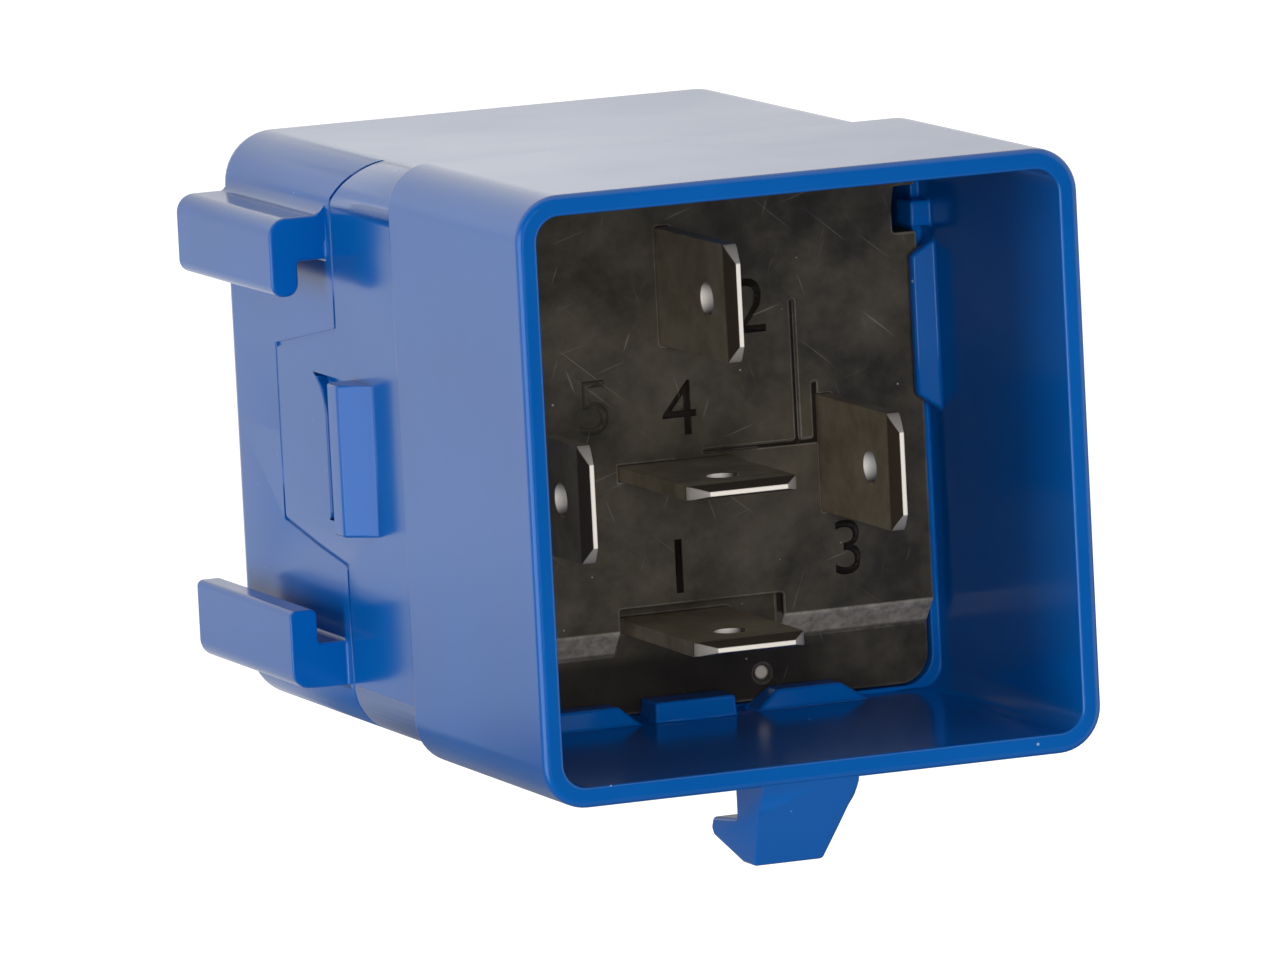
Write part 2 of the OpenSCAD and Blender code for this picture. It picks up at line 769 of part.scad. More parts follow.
// A leaf on the yoke's back whose lip presses the armature's heel onto the hinge edge.
module return_spring() {
    t = 0.25;
    w = 7;
    bend_r = 0.7;
    lip_z = arm_z0 - t - 0.28;
    y1 = hinge_y + running / 2;
    x0 = mid_x - w / 2;
    color("#b5793f")
        difference() {
            union() {
                block([x0, y1, lip_z + bend_r], [x0 + w, y1 + t, 18]);
                block([x0, 9.4, lip_z], [x0 + w, y1 + t - bend_r, lip_z + t]);
                translate([x0, y1 + t - bend_r, lip_z + bend_r])
                    rotate([0, 90, 0])
                        difference() {
                            cylinder(h = w, r = bend_r);
                            translate([0, 0, -1]) cylinder(h = w + 2, r = bend_r - t);
                            translate([-2, -2, -1]) cube([2, 4, w + 2]);
                            translate([-2, -2, -1]) cube([4, 2, w + 2]);
                        }
            }
            for (z = [12, 16])
                translate([mid_x, hinge_y + 2, z]) rotate([90, 0, 0]) cylinder(h = 4, r = 0.82);
        }
}

module return_spring_rivets() {
    color("#c9ccce")
        for (z = [12, 16])
            translate([mid_x, hinge_y + running / 2 + 0.25, z])
                rotate([-90, 0, 0]) rivet(1.3, 0.4, 0.8, yoke_t);
}

// The copper braid from the yoke's side to the edge of the contact spring.
module braid() {
    side = mid_x - yoke_w / 2;
    color("#a8602e")
        bent_rod([
            [side - 0.72, hinge_y - 0.9, 13], [side - 1.6, hinge_y - 1.4, 8.6], [side - 2, 8, 4.6],
            [side - 1.8, 0, 3.6], [side - 0.6, -6, 3.2], [mid_x - 3.2, contact_y + 2.6, 3.2]
        ], 0.6);
}

module normally_open_contact() {
    color("#c9ccce")
        translate([mid_x, contact_y, open_tab_z])
            mirror([0, 0, 1]) rivet(contact_r, open_tab_z - open_face_z, 0.78, blade_t);
}

module normally_closed_contact() {
    color("#c9ccce")
        translate([mid_x, contact_y, closed_tab_z + blade_t])
            rivet(contact_r, closed_face_z - closed_tab_z - blade_t, 0.78, blade_t);
}

// ---------------------------------------------------------------- drawing

housing();
base();
common_terminal();
left_coil_terminal();
right_coil_terminal();
normally_closed_terminal();
normally_open_terminal();
yoke();
core();
bobbin();
coil_winding();
left_coil_lead();
right_coil_lead();
resistor();
resistor_leads();
armature();
contact_spring();
spring_rivets();
moving_contact();
return_spring();
return_spring_rivets();
braid();
normally_open_contact();
normally_closed_contact();
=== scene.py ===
"""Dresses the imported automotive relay: rounded edges, terminal numbers, finishes, light and camera."""

import math

import bmesh
import bpy
from mathutils import Matrix, Vector
from mathutils.geometry import intersect_point_line


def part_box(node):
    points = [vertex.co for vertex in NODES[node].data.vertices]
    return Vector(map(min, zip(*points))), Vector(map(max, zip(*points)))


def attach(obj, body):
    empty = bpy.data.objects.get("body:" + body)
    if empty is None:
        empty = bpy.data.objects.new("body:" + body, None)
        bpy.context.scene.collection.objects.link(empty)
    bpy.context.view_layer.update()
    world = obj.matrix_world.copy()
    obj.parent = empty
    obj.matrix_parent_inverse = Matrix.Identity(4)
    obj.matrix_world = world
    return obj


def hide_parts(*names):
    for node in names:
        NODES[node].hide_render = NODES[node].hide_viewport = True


bl_info = {
    "name": "Automotive relay looks",
    "version": (1, 0, 0),
    "blender": (4, 5, 0),
    "location": "3D View > Sidebar > Relay",
    "description": "Rounds the relay's moulded edges, adds its numbers and finishes, and sets its stage",
    "category": "Object",
}

MM = 0.001

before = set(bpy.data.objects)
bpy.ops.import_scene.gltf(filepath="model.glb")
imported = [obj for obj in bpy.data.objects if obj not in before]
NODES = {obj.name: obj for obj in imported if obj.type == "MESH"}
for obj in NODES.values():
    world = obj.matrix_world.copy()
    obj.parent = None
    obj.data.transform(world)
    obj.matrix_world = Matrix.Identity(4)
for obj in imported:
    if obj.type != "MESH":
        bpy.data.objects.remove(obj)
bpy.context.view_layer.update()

BASE_FACE_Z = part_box("base")[1].z

# Middle of each terminal number on the base's face, in millimetres, and its share of the full depth.
NUMBERS = {
    "1": (-0.5, -6.95, 1.0),
    "2": (4.3, 6.6, 1.0),
    "3": (9.3, -6.9, 1.0),
    "4": (0.0, 1.5, 1.0),
    "5": (-4.9, 2.0, 0.3),
}

# Height of a digit in Blender's own font, as a share of the text's size.
DIGIT_HEIGHT = 0.73

# The base's slanted shoulder lies between these heights on the face and leads down to a ledge, this deep.
# Painted shade darkens the ledge downwards and leftwards between these places. All are in millimetres.
SHOULDER_Y = (-11.4, -10.0)
LEDGE_DEPTH = 1.1
LEDGE_PAINTED_SHADE_Y = (-11.2, -12.0)
LEDGE_PAINTED_SHADE_X = (9.5, 7.0)

# The ledge's round pit: its middle, and the radii in millimetres between which a painted highlight on its
# floor grows.
PIT = (4.5, -13.2)
PIT_PAINTED_HIGHLIGHT = (0.4, 0.28)

# Depths under the base's face in millimetres: painted shade darkens the sunk numbers and lines between the
# first two, and it ends between the other two, so that deeper pockets stay as they are.
GROOVE_PAINTED_SHADE = (0.08, 0.18)
GROOVE_END = (0.5, 0.3)

# Sets of fine scratches on the base, the turn of each in radians and its length in millimetres, and the
# width of them all.
SCRATCHES = ((0.3, 5.0), (1.9, 4.0), (-0.7, 7.0), (1.2, 3.0))
SCRATCH_WIDTH = 0.16

# Planes (axis, place in millimetres) through every island and opening of the two mouldings, so that no
# flat face has a hole in it and its edges can be rounded cleanly.
HOUSING_CUTS = ((0, -6.75), (0, -0.4), (0, 6.45), (1, -0.3), (1, 4.9), (1, 10.9))
BASE_CUTS = ((0, -9.3), (0, -0.5), (0, 4.4), (0, 8.3), (1, -1.5), (1, 3.0), (1, 11.0))

# How near points are that merge, in millimetres. The housing's slivers need the wider reach.
NEAR = 0.002
HOUSING_NEAR = 0.02

# Faces that turn from each other by less than this become one.
FLAT_ANGLE = math.radians(0.4)

# Where the witness line turns over the cover's corner it is too shallow to round. In a box between these
# two corners, in millimetres, its edges stay sharp and its faces up to this many square millimetres flat.
SEAM_CORNER = ((-16.0, 12.3, 16.8), (-12.3, 15.8, 21.0))
SLIVER_AREA = 0.3

# Edges sharper than this are rounded, and edges less sharp than this are shaded smooth.
SHARP_ANGLE = math.radians(35)
SMOOTH_ANGLE = math.radians(34)

# An edge is rounded if the room beside it is more than this many radii, and then by no more than this
# share of the room.
LEAST_ROOM = 1.5
ROOM_SHARE = 0.4

# Dimming of the white floor in reflections: the axis, 0 or 1 for x or y, the two places in millimetres
# that it fades between, and the change.
FLOOR_FADES = (
    (0, 4, 30, -0.22),
    (0, -14, -20, -0.06),
    (1, 17, 13, -0.21),
    (1, -8, -18, -0.24),
    (1, -18, -22, -0.48),
)

# The lamps' size, the point they shine at and their distance from it in metres, and the way to each.
LAMP_SIZE = 0.4
LAMP_AIM = Vector((0, 0, 0.03))
LAMP_DISTANCE = 0.7
FRONT_LAMP = Vector((-0.2, 0.06, 1.0))
SIDE_LAMP = Vector((-1.0, 0.0, -0.02))

# The way to a bright patch that reflections on the rails' side show.
PATCH = Vector((-0.87, -0.14, 0.47))


# ---------------------------------------------------------------- settings

def linear(hex_colour):
    """Turns an sRGB hex colour into linear RGBA."""
    parts = [int(hex_colour[i:i + 2], 16) / 255 for i in (1, 3, 5)]
    return [c / 12.92 if c <= 0.04045 else ((c + 0.055) / 1.055) ** 2.4 for c in parts] + [1.0]


class RelayColours(bpy.types.PropertyGroup):
    """Colours of the mouldings and metals."""

    housing: bpy.props.FloatVectorProperty(
        name="Housing", description="Blue polyester of the housing",
        default=linear("#0055A4"), subtype="COLOR", size=4, min=0, max=1)
    housing_flow: bpy.props.FloatVectorProperty(
        name="Housing flow", description="Blue of the housing where the plastic flowed",
        default=linear("#005BAC"), subtype="COLOR", size=4, min=0, max=1)
    dust: bpy.props.FloatVectorProperty(
        name="Dust", description="Pale dust on the housing",
        default=linear("#8FAFD6"), subtype="COLOR", size=4, min=0, max=1)
    base: bpy.props.FloatVectorProperty(
        name="Base", description="Black-brown polyester of the base",
        default=linear("#2F2C26"), subtype="COLOR", size=4, min=0, max=1)
    base_dust: bpy.props.FloatVectorProperty(
        name="Base dust", description="Dusty patches of the base",
        default=linear("#514B40"), subtype="COLOR", size=4, min=0, max=1)
    # Painted shade on the ledge and on the floors of the sunk numbers and lines.
    base_painted_shade: bpy.props.FloatVectorProperty(
        name="Base groove", description="Dark ledge and dark floor of the sunk numbers and lines",
        default=linear("#1C1814"), subtype="COLOR", size=4, min=0, max=1)
    # Pale grey of real wear and scratches, also used for the painted highlights on the shoulder and the pit.
    base_wear_and_highlight: bpy.props.FloatVectorProperty(
        name="Base wear", description="Pale grey of worn edges and scratches on the base",
        default=linear("#B4ACA2"), subtype="COLOR", size=4, min=0, max=1)
    # Painted highlight on the faces at a blade's end, where it is cut.
    tin: bpy.props.FloatVectorProperty(
        name="Tin plate", description="Bright tin at a blade's cut tip",
        default=linear("#FBF3E6"), subtype="COLOR", size=4, min=0, max=1)
    # Painted shade on the slanted flats of a blade's tip.
    tip_painted_shade: bpy.props.FloatVectorProperty(
        name="Tip slant", description="Dark tarnish on the slanted flats of a blade's tip",
        default=linear("#574D40"), subtype="COLOR", size=4, min=0, max=1)
    tarnish: bpy.props.FloatVectorProperty(
        name="Tarnish", description="Brown tarnish on the blades",
        default=linear("#96886E"), subtype="COLOR", size=4, min=0, max=1)
    tarnish_pale: bpy.props.FloatVectorProperty(
        name="Thin tarnish", description="Paler tarnish on the blades",
        default=linear("#B8AC92"), subtype="COLOR", size=4, min=0, max=1)


class RelaySizes(bpy.types.PropertyGroup):
    """Sizes of the details that the scene adds."""

    housing_edge: bpy.props.FloatProperty(
        name="Housing edge", description="Radius of the housing's moulded edges",
        default=0.18 * MM, unit="LENGTH", precision=5)
    base_edge: bpy.props.FloatProperty(
        name="Base edge", description="Radius of the base's moulded edges",
        default=0.12 * MM, unit="LENGTH", precision=5)
    blade_edge: bpy.props.FloatProperty(
        name="Blade edge", description="Radius of a blade's stamped edges",
        default=0.05 * MM, unit="LENGTH", precision=5)
    tip_length: bpy.props.FloatProperty(
        name="Tip length", description="Length of a blade's thinned tip",
        default=0.9 * MM, unit="LENGTH", precision=5)
    tip_depth: bpy.props.FloatProperty(
        name="Tip depth", description="How much a blade's tip is thinned from each flat",
        default=0.12 * MM, unit="LENGTH", precision=5)
    number_height: bpy.props.FloatProperty(
        name="Number height", description="Height of a terminal number",
        default=3.1 * MM, unit="LENGTH", precision=5)
    number_depth: bpy.props.FloatProperty(
        name="Number depth", description="How deep a terminal number is sunk in the base",
        default=0.22 * MM, unit="LENGTH", precision=5)


class RelayStage(bpy.types.PropertyGroup):
    """The camera's place and the light's level."""

    azimuth: bpy.props.FloatProperty(
        name="Azimuth", description="Turn of the camera towards the rails",
        default=math.radians(21.39), unit="ROTATION")
    elevation: bpy.props.FloatProperty(
        name="Elevation", description="Rise of the camera towards the upper wall",
        default=math.radians(8.02), unit="ROTATION")
    roll: bpy.props.FloatProperty(
        name="Roll", description="Turn of the camera about its own line of sight",
        default=math.radians(-2.93), unit="ROTATION")
    distance: bpy.props.FloatProperty(
        name="Distance", description="Distance of the camera from the point it looks at",
        default=695.7 * MM, unit="LENGTH", precision=4)
    lens: bpy.props.FloatProperty(
        name="Lens", description="Focal length in millimetres on a 36 mm sensor",
        default=378.6, unit="CAMERA")
    aim: bpy.props.FloatVectorProperty(
        name="Aim", description="Point that the camera looks at",
        default=(-9.65 * MM, 0.83 * MM, 46.5 * MM), unit="LENGTH", size=3)
    surround: bpy.props.FloatProperty(
        name="Surround", description="Level of the even light from all sides", default=0.32)
    front: bpy.props.FloatProperty(
        name="Front", description="Power of the lamp before the open end", default=3.3, unit="POWER")
    side: bpy.props.FloatProperty(
        name="Side", description="Power of the lamp on the rails' side", default=4.6, unit="POWER")


def colours():
    return bpy.context.scene.relay_colours


def sizes():
    return bpy.context.scene.relay_sizes


def stage():
    return bpy.context.scene.relay_stage


# ---------------------------------------------------------------- helpers

def per_mm(size_mm):
    """The scale of a pattern on Object coordinates whose features are size_mm apart."""
    return 1 / (size_mm * MM)


def add_node(tree, kind, inputs=None, **settings):
    """Adds one shader node and sets its properties and inputs.

    An input takes a value, a hex colour, an output, or a node, of which it takes the first output.
    """
    node = tree.nodes.new(kind)
    for name, value in settings.items():
        if hasattr(node, name):
            setattr(node, name, value)
        else:
            node.inputs[name.replace("_", " ")].default_value = value
    for name, source in (inputs or {}).items():
        if isinstance(source, bpy.types.Node):
            tree.links.new(source.outputs[0], node.inputs[name])
        elif isinstance(source, bpy.types.NodeSocket):
            tree.links.new(source, node.inputs[name])
        elif isinstance(source, str):
            node.inputs[name].default_value = linear(source)
        else:
            node.inputs[name].default_value = source
    return node


def new_material(name):
    """Makes an empty material and gives it, its tree and its Object coordinates."""
    material = bpy.data.materials.new(name)
    material.use_nodes = True
    tree = material.node_tree
    tree.nodes.clear()
    place = add_node(tree, "ShaderNodeTexCoord").outputs["Object"]
    return material, tree, place


def select_only(obj):
    bpy.ops.object.select_all(action="DESELECT")
    obj.select_set(True)
    bpy.context.view_layer.objects.active = obj


def apply_modifiers(obj):
    select_only(obj)
    for modifier in list(obj.modifiers):
        bpy.ops.object.modifier_apply(modifier=modifier.name)


def paint(obj, *materials):
    """Gives a piece its materials, the last one for its rounded edges."""
    obj.data.materials.clear()
    for material in materials:
        obj.data.materials.append(material)


def seat(obj, node):
    """Lets a finished piece stand for a node of the frame: hangs it on the frame and hides the node."""
    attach(obj, "frame")
    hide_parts(node)


def merged_copy(node, name, cuts=(), near=NEAR):
    """Copies a CAD node and merges its triangles into whole faces that end at the cuts, each (axis, mm)."""
    select_only(NODES[node])
    bpy.ops.object.duplicate()
    copy = bpy.context.active_object
    copy.name = copy.data.name = name
    copy.parent = None
    # the node's own marks aren't the new piece's
    for key in list(copy.keys()):
        del copy[key]
    mesh = bmesh.new()
    mesh.from_mesh(copy.data)
    bmesh.ops.remove_doubles(mesh, verts=mesh.verts, dist=near * MM)
    for axis, place in cuts:
        across = Vector([float(i == axis) for i in range(3)])
        cut = bmesh.ops.bisect_plane(mesh, geom=[*mesh.verts, *mesh.edges, *mesh.faces],
                                     plane_co=across * place * MM, plane_no=across)
        for piece in cut["geom_cut"]:
            if isinstance(piece, bmesh.types.BMEdge):
                piece.seam = True
    bmesh.ops.dissolve_limit(mesh, angle_limit=FLAT_ANGLE, verts=mesh.verts, edges=mesh.edges,
                             delimit={"SEAM"})
    mesh.to_mesh(copy.data)
    mesh.free()
    return copy


def leaves_sideways(run, way):
    """Says whether a run turns more than 30 degrees away from a unit direction."""
    return run.cross(way).length > 0.5 * run.length


def edge_room(edge):
    """The width that is free beside an edge, across its two faces and along edges that leave it sideways."""
    start, end = (vert.co for vert in edge.verts)
    way = (end - start).normalized()
    room = math.inf
    for vert in edge.verts:
        for side in vert.link_edges:
            run = side.other_vert(vert).co - vert.co
            if side is not edge and leaves_sideways(run, way):
                room = min(room, run.length)
    for other in {other for face in edge.link_faces for other in face.edges}:
        if other.verts[0] in edge.verts or other.verts[1] in edge.verts:
            continue
        # measured from five places along the edge
        for part in (0.02, 0.25, 0.5, 0.75, 0.98):
            place = start.lerp(end, part)
            near, along = intersect_point_line(place, other.verts[0].co, other.verts[1].co)
            if not 0 <= along <= 1:
                near = other.verts[round(min(1, max(0, along)))].co
            run = near - place
            if leaves_sideways(run, way):
                room = min(room, run.length)
    return room


def edge_chains(edges):
    """Sorts edges into chains that run on without a corner of more than about 37 degrees."""
    left = set(edges)
    while left:
        chain = [left.pop()]
        for edge in chain:
            way = edge.verts[1].co - edge.verts[0].co
            for vert in edge.verts:
                for other in left.intersection(vert.link_edges):
                    run = other.verts[1].co - other.verts[0].co
                    if run.cross(way).length < 0.6 * run.length * way.length:
                        left.discard(other)
                        chain.append(other)
        yield chain


def within(points, box):
    """Says whether all points are in a box of two corners in millimetres."""
    return all(low * MM <= c <= high * MM for point in points for low, c, high in zip(box[0], point, box[1]))


def shade(obj, crisp=None):
    """Shades a piece smooth, but for its flat faces, its unrounded edges and the slivers in a crisp box."""
    select_only(obj)
    bpy.ops.object.shade_smooth_by_angle(angle=SMOOTH_ANGLE)
    for face in obj.data.polygons:
        if crisp and face.area < SLIVER_AREA * MM * MM and within([face.center], crisp):
            face.use_smooth = False
    obj.modifiers.new("Normals", "WEIGHTED_NORMAL").keep_sharp = True
    apply_modifiers(obj)


def round_edges(obj, radius, crisp=None):
    """Rounds the sharp edges that have room for it and aren't in a crisp box, each chain by one radius."""
    mesh = bmesh.new()
    mesh.from_mesh(obj.data)
    weight = mesh.edges.layers.float.new("bevel_weight_edge")
    rooms = {}
    for edge in mesh.edges:
        is_crisp = crisp and within([vert.co for vert in edge.verts], crisp)
        if edge.calc_face_angle() > SHARP_ANGLE and not is_crisp:
            rooms[edge] = edge_room(edge)
    for chain in edge_chains(edge for edge in rooms if rooms[edge] > LEAST_ROOM * radius):
        share = min(1.0, ROOM_SHARE * min(rooms[edge] for edge in chain) / radius)
        for edge in chain:
            edge[weight] = share
    mesh.to_mesh(obj.data)
    mesh.free()
    bevel = obj.modifiers.new("Edge", "BEVEL")
    bevel.width = radius
    bevel.segments = 3
    bevel.limit_method = "WEIGHT"
    bevel.use_clamp_overlap = False
    bevel.miter_outer = "MITER_ARC"
    bevel.material = len(obj.data.materials) - 1
    apply_modifiers(obj)
    shade(obj, crisp)


# ---------------------------------------------------------------- patterns

def layered(tree, colour, *layers):
    """Lays layers, each a mask and a colour, over a first colour, and gives the colour that shows."""
    for mask, over in layers:
        # a Mix node's colours are its inputs 6 and 7 and its output 2
        mix = add_node(tree, "ShaderNodeMix", {0: mask, 6: colour, 7: over}, data_type="RGBA")
        colour = mix.outputs[2]
    return colour


def combined(tree, operation, first, *others):
    """Joins masks, one after another, by an operation of the Math node."""
    for other in others:
        first = add_node(tree, "ShaderNodeMath", {0: first, 1: other}, operation=operation)
    return first


def region(tree, *ramps):
    """A mask that grows along ramps, each a coordinate and the metres where it is empty and full."""
    masks = [add_node(tree, "ShaderNodeMapRange", {0: coordinate}, From_Min=empty, From_Max=full)
             for coordinate, empty, full in ramps]
    return combined(tree, "MULTIPLY", *masks)


def specks(tree, place, spacing_mm, reach):
    """A mask of round specks, in three of ten cells of the given spacing, their radius a share of a cell."""
    cells = add_node(tree, "ShaderNodeTexVoronoi", {"Vector": place}, Scale=per_mm(spacing_mm))
    chosen = add_node(tree, "ShaderNodeSeparateColor", {0: cells.outputs["Color"]})
    size = add_node(tree, "ShaderNodeMapRange", {0: chosen}, From_Min=0.7, From_Max=1.0, To_Max=reach)
    return add_node(tree, "ShaderNodeMath", {0: cells.outputs["Distance"], 1: size}, operation="LESS_THAN")


def scratches(tree, place):
    """A mask of fine scratches on the base, in sets that lie in different directions."""
    sets = []
    for turn, length in SCRATCHES:
        lay = add_node(tree, "ShaderNodeMapping", {0: place}, vector_type="TEXTURE", Rotation=(0, 0, turn),
                       Scale=(length * MM, SCRATCH_WIDTH * MM, 3 * MM))
        lines = add_node(tree, "ShaderNodeTexNoise", {"Vector": lay}, Scale=1.0, Detail=1)
        # only the highest crests of the noise show, as faint lines
        sets.append(add_node(tree, "ShaderNodeMapRange", {0: lines},
                             From_Min=0.745, From_Max=0.82, To_Max=0.35))
    return combined(tree, "MAXIMUM", *sets)


def ledge_painted_shade(tree, across, up):
    """A mask of painted shade on the ledge under the base's shoulder, all but its end at the right wall."""
    mask = region(tree, (up, *(y * MM for y in LEDGE_PAINTED_SHADE_Y)), (across, *(x * MM for x in LEDGE_PAINTED_SHADE_X)))
    return combined(tree, "MULTIPLY", mask, 0.75)


def groove_painted_shade(tree, height):
    """A mask of painted shade on the floors of the base's sunk numbers and lines."""
    return region(tree, (height, *(BASE_FACE_Z - depth * MM for depth in GROOVE_PAINTED_SHADE)),
                  (height, *(BASE_FACE_Z - depth * MM for depth in GROOVE_END)))


def shoulder_painted_highlight(tree, place, up, height):
    """A patchy mask of painted highlight on the base's slanted shoulder, down to just above the ledge."""
    low, high = SHOULDER_Y
    ledge_z = BASE_FACE_Z - LEDGE_DEPTH * MM
    cloud = add_node(tree, "ShaderNodeTexNoise", {"Vector": place},
                     Scale=per_mm(0.7), Detail=4, Roughness=0.7)
    patchy = add_node(tree, "ShaderNodeMapRange", {0: cloud},
                      From_Min=0.3, From_Max=0.65, To_Min=0.35, To_Max=1.1)
    shoulder = region(tree, (up, (low - 0.1) * MM, low * MM), (up, (high + 0.1) * MM, high * MM),
                      (height, ledge_z + 0.01 * MM, ledge_z + 0.15 * MM))
    return combined(tree, "MULTIPLY", patchy, shoulder)


def pit_painted_highlight(tree, place):
    """A mask of a painted highlight on the floor of the ledge's round pit, paler than all the wear."""
    middle = (-PIT[0] * MM, -PIT[1] * MM, 0)
    offset = add_node(tree, "ShaderNodeVectorMath", {0: place, 1: (1, 1, 0), 2: middle},
                      operation="MULTIPLY_ADD")
    reach = add_node(tree, "ShaderNodeVectorMath", {0: offset}, operation="LENGTH").outputs["Value"]
    return combined(tree, "MULTIPLY", region(tree, (reach, *(radius * MM for radius in PIT_PAINTED_HIGHLIGHT))), 1.7)


# ---------------------------------------------------------------- materials

def blue_polyester():
    """Injection-moulded polyester: even and saturated, softly glossy, with faint flow and a little dust."""
    material, tree, place = new_material("blue_moulded_polyester")
    flow = add_node(tree, "ShaderNodeTexNoise", {"Vector": place}, Scale=per_mm(9), Detail=3)
    grain = add_node(tree, "ShaderNodeTexNoise", {"Vector": place}, Scale=per_mm(0.25), Detail=2)
    tint = add_node(tree, "ShaderNodeMapRange", {0: flow}, From_Min=0.3, From_Max=0.7)
    colour = layered(tree, colours().housing,
                     (tint, colours().housing_flow),
                     (specks(tree, place, spacing_mm=1.5, reach=0.055), colours().dust))
    rough = add_node(tree, "ShaderNodeMapRange", {0: flow}, To_Min=0.12, To_Max=0.22)
    bump = add_node(tree, "ShaderNodeBump", {"Height": grain}, Strength=0.06, Distance=0.02 * MM)
    shader = add_node(tree, "ShaderNodeBsdfPrincipled",
                      {"Base Color": colour, "Roughness": rough, "Normal": bump}, IOR=1.52)
    add_node(tree, "ShaderNodeOutputMaterial", {"Surface": shader})
    return material


def black_polyester(name, rub):
    """Glass-filled black-brown polyester: matte, dusty and finely scratched, rubbed pale by a share, with
    painted shade on its ledge and sunk numbers and painted highlights on its shoulder and pit.
    """
    material, tree, place = new_material(name)
    across, up, height = add_node(tree, "ShaderNodeSeparateXYZ", {0: place}).outputs
    cloud = add_node(tree, "ShaderNodeTexNoise", {"Vector": place},
                     Scale=per_mm(5), Detail=6, Roughness=0.65)
    tint = add_node(tree, "ShaderNodeMapRange", {0: cloud}, From_Min=0.38, From_Max=0.68)
    rubbed = add_node(tree, "ShaderNodeMapRange", {0: cloud}, From_Min=0.35, From_Max=0.6, To_Max=rub)
    # real specks, rubbing and scratches, together with the painted highlights of the shoulder and the pit
    wear_and_highlight = combined(tree, "MAXIMUM", specks(tree, place, spacing_mm=0.9, reach=0.08),
                    shoulder_painted_highlight(tree, place, up, height), pit_painted_highlight(tree, place),
                    scratches(tree, place), rubbed)
    wear_and_highlight = add_node(tree, "ShaderNodeMapRange", {0: wear_and_highlight}, To_Max=0.55, clamp=False)
    colour = layered(tree, colours().base,
                     (tint, colours().base_dust),
                     # painted shade on the ledge and on the floors of the sunk numbers and lines
                     (ledge_painted_shade(tree, across, up), colours().base_painted_shade),
                     (groove_painted_shade(tree, height), colours().base_painted_shade),
                     (wear_and_highlight, colours().base_wear_and_highlight))
    rough = add_node(tree, "ShaderNodeMapRange", {0: cloud}, To_Min=0.3, To_Max=0.6)
    bump = add_node(tree, "ShaderNodeBump", {"Height": cloud}, Strength=0.25, Distance=0.08 * MM)
    shader = add_node(tree, "ShaderNodeBsdfPrincipled",
                      {"Base Color": colour, "Roughness": rough, "Normal": bump}, IOR=1.5)
    add_node(tree, "ShaderNodeOutputMaterial", {"Surface": shader})
    return material


def plain(name, colour, metallic, roughness):
    """An even finish, a little uneven in its gloss, for a piece inside the closed cover."""
    material, tree, place = new_material(name)
    grain = add_node(tree, "ShaderNodeTexNoise", {"Vector": place}, Scale=per_mm(1.5), Detail=4)
    rough = add_node(tree, "ShaderNodeMapRange", {0: grain},
                     To_Min=roughness - 0.05, To_Max=roughness + 0.05)
    shader = add_node(tree, "ShaderNodeBsdfPrincipled", {"Base Color": colour, "Roughness": rough},
                      Metallic=metallic)
    add_node(tree, "ShaderNodeOutputMaterial", {"Surface": shader})
    return material


def tin_plate():
    """Dull tin on stamped brass strip: brushed along the blade and grey-brown, with painted shade on the
    slanted flats of its tip and a painted highlight on its cut end.
    """
    material, tree, place = new_material("dull_tin_plate")
    cloud = add_node(tree, "ShaderNodeTexNoise", {"Vector": place},
                     Scale=per_mm(2.5), Detail=5, Roughness=0.65)
    lay = add_node(tree, "ShaderNodeMapping", {0: place}, vector_type="TEXTURE",
                   Scale=(0.12 * MM, 0.12 * MM, 4 * MM))
    lines = add_node(tree, "ShaderNodeTexNoise", {"Vector": lay}, Scale=1.0, Detail=2)
    tint = add_node(tree, "ShaderNodeMapRange", {0: cloud}, From_Min=0.35, From_Max=0.65)
    # by the way each face points: painted shade on the tip's slanted flats and a painted highlight on faces
    # at the blade's end
    normal = add_node(tree, "ShaderNodeNewGeometry").outputs["Normal"]
    facing = add_node(tree, "ShaderNodeSeparateXYZ", {0: normal}).outputs[2]
    slant_painted_shade = add_node(tree, "ShaderNodeMapRange", {0: facing}, From_Min=0.06, From_Max=0.14)
    cut = add_node(tree, "ShaderNodeMapRange", {0: facing}, From_Min=0.45, From_Max=1.0)
    colour = layered(tree, colours().tarnish,
                     (tint, colours().tarnish_pale),
                     (slant_painted_shade, colours().tip_painted_shade),
                     (cut, colours().tin))
    # the painted highlight at the blade's end is also less metallic
    metal = add_node(tree, "ShaderNodeMapRange", {0: cut}, To_Min=0.5, To_Max=0.05)
    rough = add_node(tree, "ShaderNodeMapRange", {0: lines}, To_Min=0.28, To_Max=0.48)
    bump = add_node(tree, "ShaderNodeBump", {"Height": lines}, Strength=0.1, Distance=0.02 * MM)
    shader = add_node(tree, "ShaderNodeBsdfPrincipled",
                      {"Base Color": colour, "Metallic": metal, "Roughness": rough, "Normal": bump})
    add_node(tree, "ShaderNodeOutputMaterial", {"Surface": shader})
    return material


# ---------------------------------------------------------------- operators

class RELAY_OT_housing(bpy.types.Operator):
    """Rounds the housing's moulded edges and gives it its blue polyester"""

    bl_idname = "relay.housing"
    bl_label = "Housing"

    def execute(self, context):
        shell = merged_copy("housing", "housing_moulding", HOUSING_CUTS, near=HOUSING_NEAR)
        paint(shell, blue_polyester())
        round_edges(shell, sizes().housing_edge, crisp=SEAM_CORNER)
        seat(shell, "housing")
        return {"FINISHED"}


